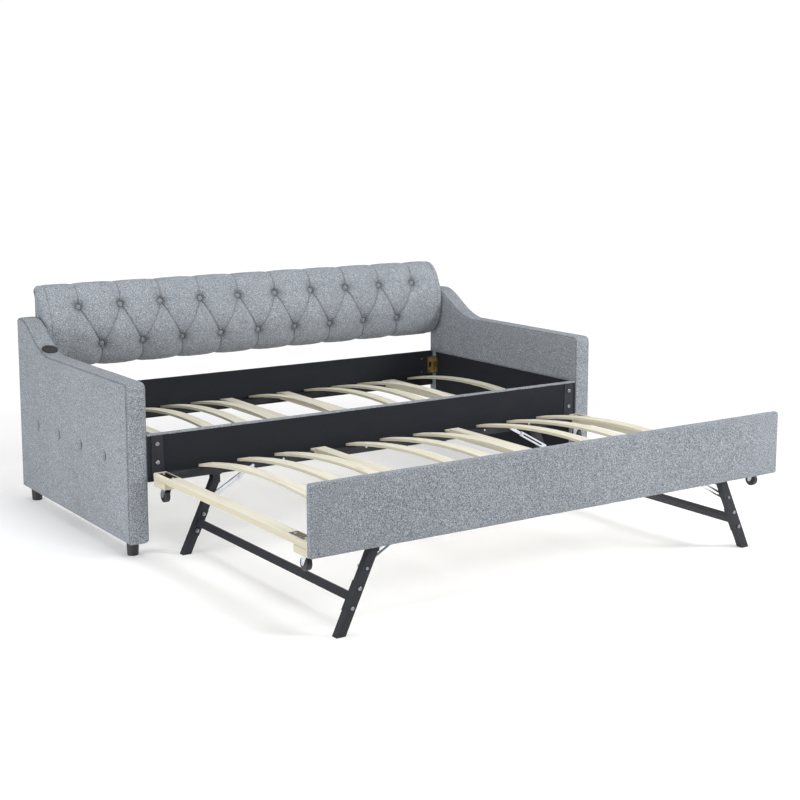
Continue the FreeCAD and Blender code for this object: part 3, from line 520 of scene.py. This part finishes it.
def bolster():
    face = resample(catmull(np.array(BACK_FACE) * MM, 20), 172, closed=False)
    back = resample(np.array(BACK_PLANE), 20, closed=False)
    loop = np.vstack([face, back])
    n2 = normals_2d(loop)
    step = np.linalg.norm(np.roll(loop, -1, 0) - loop, axis=1)
    s = np.concatenate([[0], np.cumsum(step)[:-1]])
    front = loop[:, 0] < 1.03
    it = int(np.argmin(np.where(front, np.abs(loop[:, 1] - ROW_TOP), 9)))
    il = int(np.argmin(np.where(front, np.abs(loop[:, 1] - ROW_LOW), 9)))
    # this height follows the fabric round the roll and equals the true height at both rows of buttons
    v = ROW_TOP + (s - s[it]) * (ROW_LOW - ROW_TOP) / (s[il] - s[it])
    rear = np.arange(len(loop)) >= len(face)
    # columns crowd together at the rounded ends and their seams
    edge = np.array([0.0, 0.0008, 0.002, 0.004, 0.0065, 0.0095, 0.0125, 0.016, 0.020, 0.0235, 0.026,
                     0.0275, SEAM_IN, 0.0305, 0.032, 0.0345])
    cols = np.concatenate([-BACK_HALF + edge, np.linspace(-BACK_HALF + 0.038, BACK_HALF - 0.038, 590),
                           BACK_HALF - edge[::-1]])
    X, V = np.meshgrid(cols, v, indexing="ij")
    # crease gathers painted shade for the fabric colour: pleat lines, button wells and the seam round each
    # end
    depth, crease, near = np.zeros_like(X), np.zeros_like(X), np.full_like(X, 9.0)
    power = 5.0

    def fold(x0, v0, x1, v1, amp, both):
        """A pleat from a button: a sharp line in a broad valley, deepest at the buttons."""
        nonlocal depth, crease, near
        dx, dv = x1 - x0, v1 - v0
        length = math.hypot(dx, dv)
        t = np.clip(((X - x0) * dx + (V - v0) * dv) / length ** 2, 0, 1)
        bow = 0.004 * np.sin(t * math.pi) * (1 if dx > 0 else -1)
        px, pv = X - (x0 + t * dx) + bow, V - (v0 + t * dv)
        r = np.hypot(px, pv)
        signed = (px * dv - pv * dx) / length
        away = (np.minimum(t, 1 - t) if both else t) * length
        strength = 0.62 + 0.75 * np.exp(-away / 0.036)
        if not both:
            strength = strength * (1.05 - 0.70 * t)
        lip = np.where(signed > 0, 0.0028, 0.0056)
        d = amp * strength * (0.56 * np.exp(-r / lip) + 0.44 * np.exp(-(r / 0.024) ** 1.35))
        depth += d ** power
        # painted shade along the pleat's sharp line
        line = np.clip(amp / 0.011, 0, 1) * np.clip(strength, 0, 1) * np.exp(-(r / 0.0034) ** 2)
        crease = np.maximum(crease, line)
        near = np.minimum(near, np.clip(r + 0.02 * (1 - strength), 0, None))

    for x in TOP_X:
        for xl in LOW_X:
            if abs(abs(x - xl) - PITCH / 2) < 0.001:
                fold(x, ROW_TOP, xl, ROW_LOW, 0.0120 if xl > x else 0.0076, True)
        fold(x, ROW_TOP, x, ROW_TOP + 0.150, 0.0082, False)
    for x in LOW_X:
        fold(x, ROW_LOW, x, ROW_LOW - 0.135, 0.0100, False)
    for sgn in (-1, 1):
        fold(sgn * TOP_X[-1], ROW_TOP, sgn * (BACK_HALF - 0.034), ROW_TOP + 0.003, 0.0070, False)
        fold(sgn * TOP_X[-1], ROW_TOP, sgn * (BACK_HALF - 0.075), ROW_LOW - 0.06, 0.0030, False)
    for x, vb in BUTTONS:
        r = np.hypot(X - x, V - vb)
        d = 0.0190 * np.exp(-(np.clip(r - 0.0075, 0, None) / 0.0200) ** 0.95)
        depth += d ** power
        # painted shade round the button's well
        shade = 0.95 * np.exp(-(np.clip(r - 0.0095, 0, None) / 0.0125) ** 1.1)
        crease = np.maximum(crease, shade)
        near = np.minimum(near, r)
    depth = depth ** (1 / power)
    over_top = np.clip((V - ROW_TOP - 0.035) / 0.07, 0, 1)
    puff = 0.0072 * (1 - np.exp(-(near / 0.036) ** 1.6)) * (1 - 0.55 * over_top) + 0.0024 * over_top
    flank = np.clip((BACK_HALF - 0.030 - np.abs(X)) / 0.024, 0, 1)
    flank = flank * flank * (3 - 2 * flank)
    disp = (puff * (0.55 + 0.45 * flank) - depth * flank) * np.where(rear, 0.10, 1.0)[None, :]
    P = np.empty(X.shape + (3,))
    P[..., 0] = X
    P[..., 1] = loop[None, :, 0] + n2[None, :, 0] * disp
    P[..., 2] = loop[None, :, 1] + n2[None, :, 1] * disp
    small = ripple(P.reshape(-1, 3), 55, 4).reshape(X.shape) * 0.0008 * flank
    small = small * np.where(rear, 0.3, 1.0)[None, :]
    # rounded ends with a seam round the roll
    e = BACK_HALF - np.abs(cols)
    round_off = np.where(e < END_R, END_R - np.sqrt(np.clip(END_R ** 2 - (END_R - e) ** 2, 0, None)), 0.0)
    round_off = round_off + 0.0018 * np.exp(-np.abs(e - SEAM_IN) / 0.0014)
    small = small - round_off[:, None]
    P[..., 1] += n2[None, :, 0] * small + FRONT
    P[..., 2] += n2[None, :, 1] * small
    # painted shade in the seam groove round the roll, and the pleat shade faded out at the ends
    crease = np.maximum(crease * flank, 0.42 * np.exp(-((e - SEAM_IN) / 0.0016) ** 2)[:, None])
    nu, nv = len(cols), len(loop)
    verts, painted_shade_values = [P.reshape(-1, 3)], [crease.reshape(-1)]
    faces = grid_faces(nu, nv, close_v=True)
    base = nu * nv
    for end, sgn in ((0, -1), (nu - 1, 1)):
        ring = P[end]
        mid = ring.mean(0)
        prev = [end * nv + j for j in range(nv)]
        for f, out in ((0.985, 0.0), (0.93, 0.0), (0.7, -0.0006), (0.4, -0.001), (0.12, -0.001)):
            now = [base + j for j in range(nv)]
            p = mid + (ring - mid) * f
            p[:, 0] = sgn * (BACK_HALF + out)
            verts.append(p)
            painted_shade_values.append(np.zeros(nv))
            base += nv
            for j in range(nv):
                q = (prev[j], prev[(j + 1) % nv], now[(j + 1) % nv], now[j])
                faces.append(q if sgn < 0 else q[::-1])
            prev = now
        faces.append(tuple(prev) if sgn < 0 else tuple(prev[::-1]))
    obj = make_object("bolster_tufted", np.vstack(verts), faces, FABRIC_PLEAT_SHADED)
    attribute = obj.data.attributes.new("fold", "FLOAT", "POINT")
    attribute.data.foreach_set("value", np.concatenate(painted_shade_values).astype(np.float32))
    fix_normals(obj)
    return obj, P, cols, v


def fix_normals(obj):
    """Turn the faces outward and shade them smooth."""
    bm = bmesh.new()
    bm.from_mesh(obj.data)
    bmesh.ops.recalc_face_normals(bm, faces=bm.faces)
    bm.to_mesh(obj.data)
    bm.free()
    obj.data.polygons.foreach_set("use_smooth", [True] * len(obj.data.polygons))


back, BP, BCOLS, BV = bolster()
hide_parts("backrest_upholstery")
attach(back, "daybed")


def button(centre, normal, radius=0.0112, height=0.0060, seed=0):
    """A fabric-covered button: a dome with a few gathers round its rim."""
    n = Vector(normal).normalized()
    rot = Vector((0, 0, 1)).rotation_difference(n).to_matrix()
    rows, seg = 9, 40
    verts, r = [], np.random.default_rng(seed + 11)
    phase, gathers = r.uniform(0, 6.28), 9
    for i in range(rows):
        t = i / (rows - 1)
        ang = t * math.pi * 0.62
        rad, z = radius * math.sin(ang), height * (0.25 + math.cos(ang))
        for j in range(seg):
            a = 2 * math.pi * j / seg
            k = rad * (1 + 0.035 * t ** 3 * math.sin(gathers * a + phase))
            dip = 0.0004 * t ** 2 * math.sin(gathers * a + phase)
            p = rot @ Vector((k * math.cos(a), k * math.sin(a), z - dip))
            verts.append(tuple(Vector(centre) + p))
    faces = grid_faces(rows, seg, close_v=True, flip=True)
    faces.append(tuple((rows - 1) * seg + j for j in range(seg)))
    return verts, faces


def surface_point(x, v):
    i, j = int(np.argmin(np.abs(BCOLS - x))), int(np.argmin(np.abs(BV - v)))
    return BP[i, j]


parts = []
for k, (x, vb) in enumerate(BUTTONS):
    p = surface_point(x, vb)
    tilt = (0.0, -1.0, 0.30 if vb == ROW_TOP else -0.22)
    n = Vector(tilt).normalized()
    parts.append(button(Vector(p) + n * 0.0012, tilt, seed=k))
buttons = joined("bolster_buttons", parts, FABRIC_BUTTON)
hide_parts("backrest_buttons")
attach(buttons, "daybed")


# ------------------------------------------------------------------ arms
ARM_T = arm_hi[0] - arm_lo[0]
ARM_DEPTH, ARM_BOTTOM = 1.05, 0.051
ARM_LOW_TOP, ARM_HIGH_EDGE = 0.617, 0.70
# the slope from the arm's low front part up to its high rear part, in millimetres
ARM_S = [(740, 617), (768, 623), (807, 636), (846, 654), (885, 678), (915, 697), (942, 713), (970, 727),
         (1000, 735)]
TUFTS = [(0.204 + 0.218 * i, 0.331) for i in range(4)]
lining_lo, lining_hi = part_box("arm_linings")


def arc(cy, cz, r, a0, a1, n=9):
    a = np.radians(np.linspace(a0, a1, n))
    return [(cy + r * math.cos(t), cz + r * math.sin(t)) for t in a]


def arm_outline():
    """The arm's outline in depth and height, from the front's lower corner up and over to the rear."""
    s = catmull(np.array(ARM_S) * MM, 8)
    pts = arc(0.006, 0.057, 0.006, 270, 180, 5) + [(0, 0.2), (0, 0.4)] + arc(0.022, 0.595, 0.022, 180, 90)
    pts += [(0.3, ARM_LOW_TOP), (0.6, ARM_LOW_TOP)] + [tuple(p) for p in s]
    pts += arc(1.036, 0.721, 0.014, 90, 0) + [(ARM_DEPTH, 0.5), (ARM_DEPTH, 0.3)]
    pts += arc(1.044, 0.057, 0.006, 0, -90, 5)
    return resample(np.array(pts), 430, closed=True)


# across the strip, in millimetres: distance from the inner face, and how far inside the outline
STRIP = [(0.0, 12.0), (-0.5, 9.5), (-0.3, 7.4), (0.9, 5.6), (2.4, 4.7), (3.5, 4.6), (3.9, 3.4), (4.6, 2.0),
         (6.4, 0.7), (9.5, -0.1), (15.0, -0.7), (24.0, -1.0), (38.0, -1.1)]


def arm(side_name):
    s = -1.0 if side_name == "left" else 1.0
    loop = arm_outline()
    n2 = normals_2d(loop)
    nv = len(loop)
    half = np.array(STRIP) * MM
    across = np.vstack([half, np.stack([ARM_T - half[-2::-1, 0], half[-2::-1, 1]], -1)])
    rows = []
    for x, inset in across:
        p = loop - n2 * inset
        rows.append(np.column_stack([np.full(nv, INNER + x), p]))
    strip = np.array(rows)
    centre = np.array([0.56, 0.31])
    factors = np.concatenate([np.linspace(0.988, 0.06, 84), [0.0]])

    def side_rows(ring):
        flat = ring[:, 1:]
        out = []
        for f in factors[:-1]:
            out.append(np.column_stack([ring[:, 0], centre + (flat - centre) * f]))
        return np.array(out)

    inner_rows, outer_rows = side_rows(strip[0]), side_rows(strip[-1])

    def shape_side(p, direction, tufted):
        y, z = p[..., 1], p[..., 2]
        top = np.where(y < 0.75, ARM_LOW_TOP, ARM_HIGH_EDGE)
        edge = np.minimum.reduce([y, ARM_DEPTH - y, z - ARM_BOTTOM, top - z])
        crown = 0.0022 * np.clip(edge / 0.12, 0, 1) ** 0.7
        flat = p.reshape(-1, 3)
        wave = ripple(flat, 9, 2.0 + direction).reshape(y.shape) * 0.0009 * np.clip(edge / 0.05, 0, 1)
        out = crown + wave
        if tufted:
            for ty, tz in TUFTS:
                r = np.hypot((y - ty) * 1.05, (z - tz) * 0.8)
                out = out - 0.0044 * np.exp(-(r / 0.021) ** 1.3) - 0.0020 * np.exp(-(r / 0.065) ** 1.6)
                bend = 0.010 * ((z - tz) / 0.05) ** 2
                crease = np.exp(-np.abs(y - ty - bend) / 0.006) * np.exp(-(np.abs(z - tz) / 0.050) ** 2)
                pulls = np.exp(-np.abs(z - tz) / 0.007) * np.exp(-(np.abs(y - ty) / 0.060) ** 2)
                out = out - 0.0022 * crease - 0.0010 * pulls
        else:
            # drawn in where the dust cloth lies
            inside = np.clip((y - 0.030) / 0.010, 0, 1) * np.clip((1.022 - y) / 0.010, 0, 1)
            inside = inside * np.clip((0.437 - z) / 0.010, 0, 1)
            out = out * (1 - inside) - 0.0032 * inside
        p[..., 0] += direction * out
        return p

    inner_rows = shape_side(inner_rows, -1.0, False)
    outer_rows = shape_side(outer_rows, 1.0, True)
    verts = np.vstack([strip.reshape(-1, 3), inner_rows.reshape(-1, 3), outer_rows.reshape(-1, 3)])
    ns = len(across)
    faces = grid_faces(ns, nv, close_v=True)
    k = len(factors) - 1
    base_in, base_out = ns * nv, ns * nv + k * nv
    faces += grid_faces(k, nv, close_v=True, offset=base_in)
    faces += grid_faces(k, nv, close_v=True, offset=base_out)
    for j in range(nv):
        b = (j + 1) % nv
        faces.append((j, b, base_in + b, base_in + j))
        faces.append(((ns - 1) * nv + j, (ns - 1) * nv + b, base_out + b, base_out + j))
    for base in (base_in, base_out):
        faces.append(tuple(base + (k - 1) * nv + j for j in range(nv)))
    # a little slack along the strip
    slack = ripple(verts, 16, 5.0) * 0.0006
    verts[:, 2] += slack * (verts[:, 2] > 0.08)
    verts[:, 1] += FRONT
    verts[:, 0] *= s
    obj = make_object(side_name + "_arm_cover", verts, faces, FABRIC_ARM_SHADED)
    fix_normals(obj)
    # painted shade: darker along the strip's seam grooves and round the tuft pits
    seam = np.exp(-((np.minimum(across[:, 0], ARM_T - across[:, 0]) - 3.2 * MM) / (1.6 * MM)) ** 2)
    shade = [np.repeat(0.50 * seam, nv), np.zeros(len(factors[:-1]) * nv)]
    y, z = (outer_rows[..., k].reshape(-1) for k in (1, 2))
    tuft = np.zeros(len(y))
    for ty, tz in TUFTS:
        r = np.hypot((y - ty) / 0.0085, (z - tz) / 0.0165)
        tuft = np.maximum(tuft, 0.55 * np.exp(-((r - 0.9) / 0.45) ** 2))
    shade.append(tuft)
    attribute = obj.data.attributes.new("fold", "FLOAT", "POINT")
    attribute.data.foreach_set("value", np.concatenate(shade).astype(np.float32))
    return obj, loop, n2


for side_name in SIDES:
    s = -1.0 if side_name == "left" else 1.0
    cover, loop, n2 = arm(side_name)
    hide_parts(side_name + "_arm_upholstery")
    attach(cover, "daybed")
    above = loop[:, 1] > 0.062
    run = np.roll(np.arange(len(loop)), -int(np.argmin(above)))
    run = [i for i in run if above[i]]
    threads = []
    for x in (INNER + 3.4 * MM, INNER + ARM_T - 3.4 * MM):
        line = np.column_stack([np.full(len(run), s * x), (loop - n2 * 4.3 * MM)[run]])
        line[:, 1] += FRONT
        threads += stitches(line, (0, 0, 1), pitch=0.009, length=0.0058, radius=0.0007)
    seam = joined(side_name + "_arm_seam_stitches", threads, THREAD)
    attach(seam, "daybed")

knots = []
for s in (-1.0, 1.0):
    for ty, tz in TUFTS:
        x = INNER + ARM_T - 0.0060
        lo = np.array([min(s * x, s * (x + 0.0052)), FRONT + ty - 0.0035, tz - 0.0125])
        hi = np.array([max(s * x, s * (x + 0.0052)), FRONT + ty + 0.0035, tz + 0.0125])
        knots.append(soft_box(lo, hi, 0.0024, 0.003, uneven=0.0004, seed=ty))
knots = joined("arm_tuft_knots", knots, FABRIC)
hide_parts("arm_tufts")
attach(knots, "daybed")


# ------------------------------------------------------------------ linings and covered rails
def thin_cloth(lo, hi, axis, wave, step=0.02, seed=1.0):
    """A flat cloth panel with its edges turned in and slow puckers along them."""
    v, f = soft_box(lo, hi, 0.0007, step)
    lo, hi = np.array(lo), np.array(hi)
    others = [k for k in range(3) if k != axis]
    edge = np.minimum.reduce([np.minimum(v[:, k] - lo[k], hi[k] - v[:, k]) for k in others])
    w = wave * (ripple(v, 10, seed) + 0.8 * np.exp(-edge / 0.012) * ripple(v, 60, seed + 1))
    v[:, axis] += w
    return v, f


def cloth_sheet(name, lo, hi, axis, wave, seed, node):
    """One black cloth stretched over a flat face, made to the size of that face."""
    piece = joined(name, [thin_cloth(lo, hi, axis, wave, seed=seed)], BLACK_CLOTH)
    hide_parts(node)
    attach(piece, "daybed")


for side_name, s in (("left", -1.0), ("right", 1.0)):
    xs = sorted((s * (INNER - 0.0004), s * (INNER + 0.0012)))
    low, high = (xs[0], lining_lo[1], lining_lo[2] + 0.001), (xs[1], lining_hi[1], lining_hi[2])
    cloth_sheet(side_name + "_arm_dust_cloth", low, high, 0, 0.0005, s + 3, "arm_linings")

rail_lo, rail_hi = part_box("front_rail")
rear_lo, rear_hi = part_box("rear_rail")
cover_lo, cover_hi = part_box("rail_covers")
cloth_sheet("front_rail_black_cloth", (-INNER, FRONT + 0.0008, rail_lo[2]),
            (INNER, FRONT + 0.0030, rail_hi[2]), 1, 0.0003, 8, "rail_cloths")
cloth_sheet("rear_rail_black_cloth", (-INNER, rear_lo[1] - 0.0021, rear_lo[2]),
            (INNER, rear_lo[1], rear_hi[2]), 1, 0.0004, 9, "rail_cloths")


def rail_strip(y, z, radius, step):
    """Cloth glued along a rail's whole length, between two depths and two heights."""
    return soft_box((-INNER, y[0], z[0]), (INNER, y[1], z[1]), radius, step, uneven=0.0003)


PROUD = 0.0006                    # how far the caps stand over the CAD covers
CAP_R, BACK_R = 0.0016, 0.0012
cap_top = cover_hi[2] + PROUD
front_rear_face = rail_hi[1] + 0.003
front_cover = [rail_strip((cover_lo[1] - 0.0003, front_rear_face), (rail_hi[2] - 0.0012, cap_top),
                          CAP_R, 0.02),
               rail_strip((rail_hi[1] - 0.0003, front_rear_face), (rail_lo[2], rail_hi[2]),
                          BACK_R, 0.03)]
rear_cap = [rail_strip((rear_lo[1] - 0.002, cover_hi[1] - 0.002), (rear_hi[2] - 0.0008, cap_top),
                       CAP_R, 0.02)]
rear_back = [rail_strip((rear_hi[1] - 0.0003, cover_hi[1]), (rear_lo[2], cover_hi[2]), BACK_R, 0.02)]
for name, parts, material, finish in (("rail_fabric_covers", front_cover + rear_back, FABRIC, "rail_fabric"),
                                      ("rear_rail_cap", rear_cap, BLACK_CLOTH, "black_cloth")):
    piece = joined(name, parts, material)
    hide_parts("rail_covers")
    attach(piece, "daybed")


# ------------------------------------------------------------------ trundle panel
panel_lo, panel_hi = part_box("trundle_panel_cover")
v, f = soft_box(panel_lo, panel_hi, 0.0075, 0.012, puff=0.0028, uneven=0.00045, seed=6)
panel = make_object("trundle_panel_padding", v, f, FABRIC)
fix_normals(panel)
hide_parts("trundle_panel_cover")
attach(panel, "trundle_deck")


# ------------------------------------------------------------------ studio
def area(name, place, target, size, energy, colour=(1, 1, 1)):
    light = bpy.data.lights.new(name, "AREA")
    light.shape = "RECTANGLE"
    light.size, light.size_y = size
    light.energy = energy
    light.color = colour
    o = bpy.data.objects.new(name, light)
    bpy.context.scene.collection.objects.link(o)
    o.location = place
    o.rotation_euler = (Vector(target) - Vector(place)).to_track_quat("-Z", "Y").to_euler()


floor_mesh = bpy.data.meshes.new("floor")
far = 30
floor_mesh.from_pydata([(-far, -far, 0), (far, -far, 0), (far, far, 0), (-far, far, 0)], [], [(0, 1, 2, 3)])
floor = bpy.data.objects.new("floor", floor_mesh)
bpy.context.scene.collection.objects.link(floor)
fm = Graph("studio_floor", (0.80, 0.80, 0.805), 0.8, specular=0.05)
fm.set("Emission Color", (1, 1, 1, 1))
fm.set("Emission Strength", 0.24)
gx, gy = fm.xyz()[0], fm.xyz()[1]
forward = fm.math("POWER", fm.math("ADD", gy, 0.4), 2.0)
away = fm.math("SQRT", fm.math("ADD", fm.math("POWER", gx, 2.0), forward))
fade = fm.nt.nodes.new("ShaderNodeMapRange")
fade.interpolation_type = "SMOOTHSTEP"
fade.inputs["From Min"].default_value, fade.inputs["From Max"].default_value = 1.4, 4.2
fm.plug(away, fade.inputs["Value"])
glow = fm.nt.nodes.new("ShaderNodeEmission")
glow.inputs["Strength"].default_value = 1.05
blend_node = fm.nt.nodes.new("ShaderNodeMixShader")
out_node = fm.nt.nodes["Material Output"]
fm.plug(fade.outputs[0], blend_node.inputs[0])
fm.nt.links.new(fm.bsdf.outputs[0], blend_node.inputs[1])
fm.nt.links.new(glow.outputs[0], blend_node.inputs[2])
fm.nt.links.new(blend_node.outputs[0], out_node.inputs[0])
floor_mesh.materials.append(fm.m)

# the sky is white ahead of the camera and dimmer to the sides and behind, so the folds keep their shading
VIEW_HEADING = (0.553, 0.833, 0.0)
world = bpy.data.worlds.new("studio")
bpy.context.scene.world = world
world.use_nodes = True
wn = world.node_tree
bg = wn.nodes["Background"]
bg.inputs["Color"].default_value = (1.0, 1.0, 1.0, 1)
bg.inputs["Strength"].default_value = 1.0
sky = wn.nodes.new("ShaderNodeTexCoord")
aim = wn.nodes.new("ShaderNodeVectorMath")
aim.operation = "DOT_PRODUCT"
aim.inputs[1].default_value = VIEW_HEADING
wn.links.new(sky.outputs["Generated"], aim.inputs[0])
band = wn.nodes.new("ShaderNodeMapRange")
band.interpolation_type = "SMOOTHSTEP"
band.inputs["From Min"].default_value, band.inputs["From Max"].default_value = 0.45, 0.80
band.inputs["To Min"].default_value, band.inputs["To Max"].default_value = 0.30, 1.02
wn.links.new(aim.outputs["Value"], band.inputs["Value"])
wn.links.new(band.outputs[0], bg.inputs["Strength"])

area("key_front_right", (3.3, -3.6, 2.5), (0.2, 0.3, 0.5), (1.3, 1.1), 165, (1.0, 0.997, 0.99))
area("front_top", (-0.4, -2.6, 3.6), (0.0, 0.9, 0.6), (1.6, 0.9), 52)
area("low_left", (-4.2, -0.2, 0.75), (-1.0, 0.4, 0.35), (2.0, 0.9), 72)
area("overhead", (-0.4, 0.0, 4.2), (0.0, 0.2, 0.3), (3.0, 2.2), 68)

camera = bpy.data.cameras.new("camera")
cam = bpy.data.objects.new("camera", camera)
bpy.context.scene.collection.objects.link(cam)
YAW, TILT, ROLL = -0.5866, -0.1479, -0.0014
CAMERA_AT = (-3.0389, -4.6275 + FRONT, 1.4889)
fw = Vector((-math.sin(YAW) * math.cos(TILT), math.cos(YAW) * math.cos(TILT), math.sin(TILT)))
right = Vector((math.cos(YAW), math.sin(YAW), 0.0))
up = right.cross(fw)
r = right * math.cos(ROLL) + up * math.sin(ROLL)
u = -right * math.sin(ROLL) + up * math.cos(ROLL)
cam.matrix_world = Matrix(((r.x, u.x, -fw.x, CAMERA_AT[0]), (r.y, u.y, -fw.y, CAMERA_AT[1]),
                           (r.z, u.z, -fw.z, CAMERA_AT[2]), (0, 0, 0, 1)))
camera.sensor_width = 36.0
camera.lens = 66.69
camera.shift_x = 0.0135
camera.shift_y = -0.0680
bpy.context.scene.camera = cam
bpy.context.scene.view_settings.view_transform = "Standard"
